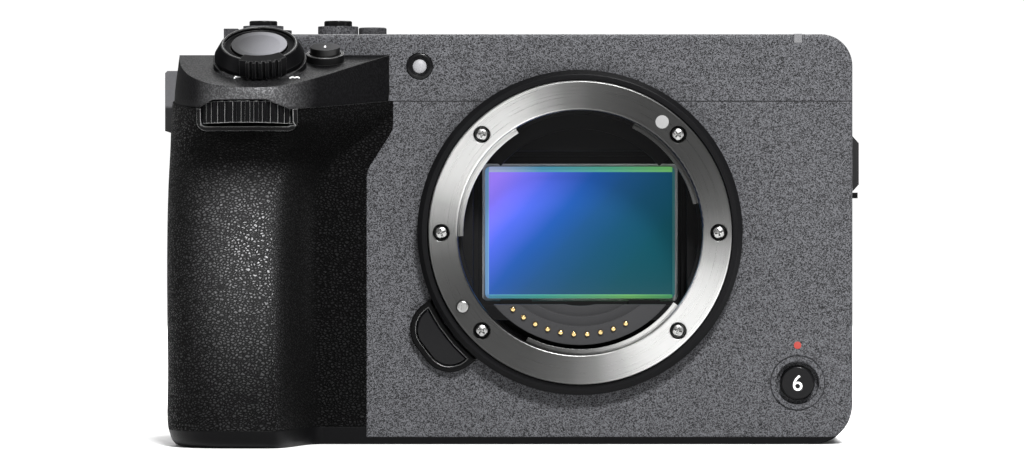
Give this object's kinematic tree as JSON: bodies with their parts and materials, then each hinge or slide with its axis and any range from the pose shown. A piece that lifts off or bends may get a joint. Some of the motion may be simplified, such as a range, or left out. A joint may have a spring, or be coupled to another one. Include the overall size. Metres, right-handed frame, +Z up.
{
  "type": "cinema camera",
  "caption": "Compact box-shaped cinema camera body with hand grip, open bayonet lens mount, image sensor, swing-out monitor, dials, buttons and doors.",
  "frame": {"origin": "mouth of the tripod socket on the base, below the lens axis", "axes": "+Z up, -Y out of the lens mount towards the subject, -X towards the hand grip"},
  "size_m": [0.1341, 0.0849, 0.081],
  "materials": {
    "speckled_paint": "satin speckled",
    "black_shell": "fine matt",
    "grip_rubber": "leather grain",
    "mount_steel": "turned",
    "bright_steel": "polished",
    "mount_black": "satin",
    "baffle_black": "flocked",
    "gold": "plated",
    "sensor_coat": "coated",
    "silicon": "polished",
    "button_black": "satin",
    "collar_grey": "speckled",
    "shutter_cap": "satin",
    "lever_black": "semi gloss",
    "dial_black": "ribbed",
    "lamp": "frosted",
    "screen_glass": "gloss",
    "lug_black": "satin",
    "inner_metal": "cast",
    "circuit_board": "resist",
    "inner_plastic": "plain"
  },
  "bodies": {
    "camera": {"base_cover": "black_shell", "battery": "inner_plastic", "button_collars": "collar_grey", "card_slots": "inner_plastic", "chassis": "inner_metal", "contact_block": "baffle_black", "contact_pins": "gold", "focus_lamp": "lamp", "front_button_bezel": "speckled_paint", "front_cover": "speckled_paint", "front_dial_bezel": "button_black", "grip_cover": "grip_rubber", "grip_deck": "black_shell", "grip_frame": "black_shell", "heat_sink": "inner_metal", "hot_shoe": "bright_steel", "image_sensor": "silicon", "light_baffle": "baffle_black", "main_board": "circuit_board", "mount_ring": "mount_steel", "mount_screws": "bright_steel", "mount_surround": "mount_black", "rear_cover": "black_shell", "release_guard": "mount_black", "sensor_glass": "sensor_coat", "strap_lugs": "lug_black", "tally_lamp": "lamp", "terminal_panel": "inner_plastic", "thread_bushes": "bright_steel", "thumb_rest": "grip_rubber", "top_cover": "speckled_paint"},
    "monitor": {"monitor_housing": "black_shell", "monitor_screen": "screen_glass", "monitor_arm": "black_shell"},
    "shutter_button": {"shutter_button": "shutter_cap"},
    "zoom_lever": {"zoom_lever": "lever_black"},
    "front_dial": {"front_dial": "dial_black"},
    "deck_button": {"deck_button": "button_black"},
    "record_button": {"record_button": "button_black"},
    "top_button_left": {"top_button_left": "button_black"},
    "top_button_right": {"top_button_right": "button_black"},
    "power_switch": {"power_switch": "collar_grey"},
    "front_record_button": {"front_record_button": "button_black"},
    "release_button": {"release_button": "button_black"},
    "lock_pin": {"lock_pin": "bright_steel"},
    "rear_dial": {"rear_dial": "dial_black"},
    "control_wheel": {"control_wheel": "dial_black"},
    "centre_button": {"centre_button": "button_black"},
    "joystick": {"joystick": "dial_black"},
    "joystick_yoke": {"joystick_yoke": "dial_black"},
    "focus_button": {"focus_button": "button_black"},
    "function_button": {"function_button": "button_black"},
    "playback_button": {"playback_button": "button_black"},
    "delete_button": {"delete_button": "button_black"},
    "menu_button": {"menu_button": "button_black"},
    "battery_door": {"battery_door": "black_shell"},
    "card_door": {"card_door": "black_shell"},
    "audio_door": {"audio_door": "black_shell"},
    "video_door": {"video_door": "black_shell"},
    "fan_rotor": {"fan_rotor": "inner_plastic"}
  },
  "joints": [
    {"name": "shutter_press", "type": "slide", "parent": "camera", "child": "shutter_button", "axis": [0, 0.4848, -0.8746], "range_m": [0, 0.0008], "stiffness_N_per_m": 1171.9, "springref_m": -0.00048},
    {"name": "zoom_turn", "type": "hinge", "parent": "camera", "child": "zoom_lever", "pos_m": [-0.0599, -0.025, 0.07265], "axis": [0, -0.4848, 0.8746], "range_deg": [-20, 20], "stiffness_Nm_per_rad": 0.06},
    {"name": "front_dial_turn", "type": "hinge", "parent": "camera", "child": "front_dial", "pos_m": [-0.0618, -0.0273, 0.062], "axis": [0, 0.0349, 0.9994], "continuous": true},
    {"name": "deck_button_press", "type": "slide", "parent": "camera", "child": "deck_button", "axis": [0, 0.2926, -0.9562], "range_m": [0, 0.0006], "stiffness_N_per_m": 1562.5, "springref_m": -0.00036},
    {"name": "record_press", "type": "slide", "parent": "camera", "child": "record_button", "axis": [0, 0, -1], "range_m": [0, 0.0007], "stiffness_N_per_m": 1339.3, "springref_m": -0.00042},
    {"name": "top_left_press", "type": "slide", "parent": "camera", "child": "top_button_left", "axis": [0, 0, -1], "range_m": [0, 0.0007], "stiffness_N_per_m": 1339.3, "springref_m": -0.00042},
    {"name": "top_right_press", "type": "slide", "parent": "camera", "child": "top_button_right", "axis": [0, 0, -1], "range_m": [0, 0.0007], "stiffness_N_per_m": 1339.3, "springref_m": -0.00042},
    {"name": "power_turn", "type": "hinge", "parent": "camera", "child": "power_switch", "pos_m": [-0.0614, 0.01, 0.0784], "axis": [0, 0, 1], "range_deg": [0, 40]},
    {"name": "front_record_press", "type": "slide", "parent": "camera", "child": "front_record_button", "axis": [0, 1, 0], "range_m": [0, 0.0006], "stiffness_N_per_m": 1562.5, "springref_m": -0.00036},
    {"name": "release_press", "type": "slide", "parent": "camera", "child": "release_button", "axis": [0, 1, 0], "range_m": [0, 0.0012], "stiffness_N_per_m": 900, "springref_m": -0.0008},
    {"name": "lock_pin_draw", "type": "slide", "parent": "camera", "child": "lock_pin", "axis": [0, 1, 0], "range_m": [0, 0.0015]},
    {"name": "monitor_swing", "type": "hinge", "parent": "camera", "child": "monitor", "pos_m": [0.0482, 0.03425, 0.0355], "axis": [0, 0, -1], "range_deg": [0, 176]},
    {"name": "rear_dial_turn", "type": "hinge", "parent": "camera", "child": "rear_dial", "pos_m": [-0.06, 0.0265, 0.0684], "axis": [0, 0, 1], "continuous": true},
    {"name": "wheel_turn", "type": "hinge", "parent": "camera", "child": "control_wheel", "pos_m": [-0.0545, 0.034, 0.032], "axis": [0, 1, 0], "continuous": true},
    {"name": "centre_press", "type": "slide", "parent": "camera", "child": "centre_button", "axis": [0, -1, 0], "range_m": [0, 0.0006], "stiffness_N_per_m": 1562.5, "springref_m": -0.00036},
    {"name": "joystick_lift", "type": "hinge", "parent": "camera", "child": "joystick_yoke", "pos_m": [-0.0394, 0.029, 0.054], "axis": [1, 0, 0], "range_deg": [-8, 8], "stiffness_Nm_per_rad": 0.02},
    {"name": "joystick_side", "type": "hinge", "parent": "joystick_yoke", "child": "joystick", "pos_m": [-0.0394, 0.029, 0.054], "axis": [0, 0, 1], "range_deg": [-8, 8], "stiffness_Nm_per_rad": 0.02},
    {"name": "focus_press", "type": "slide", "parent": "camera", "child": "focus_button", "axis": [0, -1, 0], "range_m": [0, 0.0006], "stiffness_N_per_m": 1562.5, "springref_m": -0.00036},
    {"name": "function_press", "type": "slide", "parent": "camera", "child": "function_button", "axis": [0, -1, 0], "range_m": [0, 0.0006], "stiffness_N_per_m": 1562.5, "springref_m": -0.00036},
    {"name": "playback_press", "type": "slide", "parent": "camera", "child": "playback_button", "axis": [0, -1, 0], "range_m": [0, 0.0006], "stiffness_N_per_m": 1562.5, "springref_m": -0.00036},
    {"name": "delete_press", "type": "slide", "parent": "camera", "child": "delete_button", "axis": [0, -1, 0], "range_m": [0, 0.0006], "stiffness_N_per_m": 1562.5, "springref_m": -0.00036},
    {"name": "menu_press", "type": "slide", "parent": "camera", "child": "menu_button", "axis": [0, -1, 0], "range_m": [0, 0.0006], "stiffness_N_per_m": 1562.5, "springref_m": -0.00036},
    {"name": "battery_door_swing", "type": "hinge", "parent": "camera", "child": "battery_door", "pos_m": [-0.0537, -0.005, 0.00085], "axis": [0, 1, 0], "range_deg": [-100, 0]},
    {"name": "card_door_swing", "type": "hinge", "parent": "camera", "child": "card_door", "pos_m": [-0.0759, 0.02605, 0.03], "axis": [0, 0, -1], "range_deg": [0, 95]},
    {"name": "audio_door_swing", "type": "hinge", "parent": "camera", "child": "audio_door", "pos_m": [0.0508, -0.00855, 0.0488], "axis": [0, 0, -1], "range_deg": [0, 104]},
    {"name": "video_door_swing", "type": "hinge", "parent": "camera", "child": "video_door", "pos_m": [0.0508, -0.00855, 0.0207], "axis": [0, 0, -1], "range_deg": [0, 104]},
    {"name": "fan_turn", "type": "hinge", "parent": "camera", "child": "fan_rotor", "pos_m": [0.024, 0.012, 0.034], "axis": [0, 1, 0], "continuous": true}
  ],
  "couplings": [
    {"joint": "lock_pin_draw", "follows": "release_press", "ratio": 1.25}
  ]
}
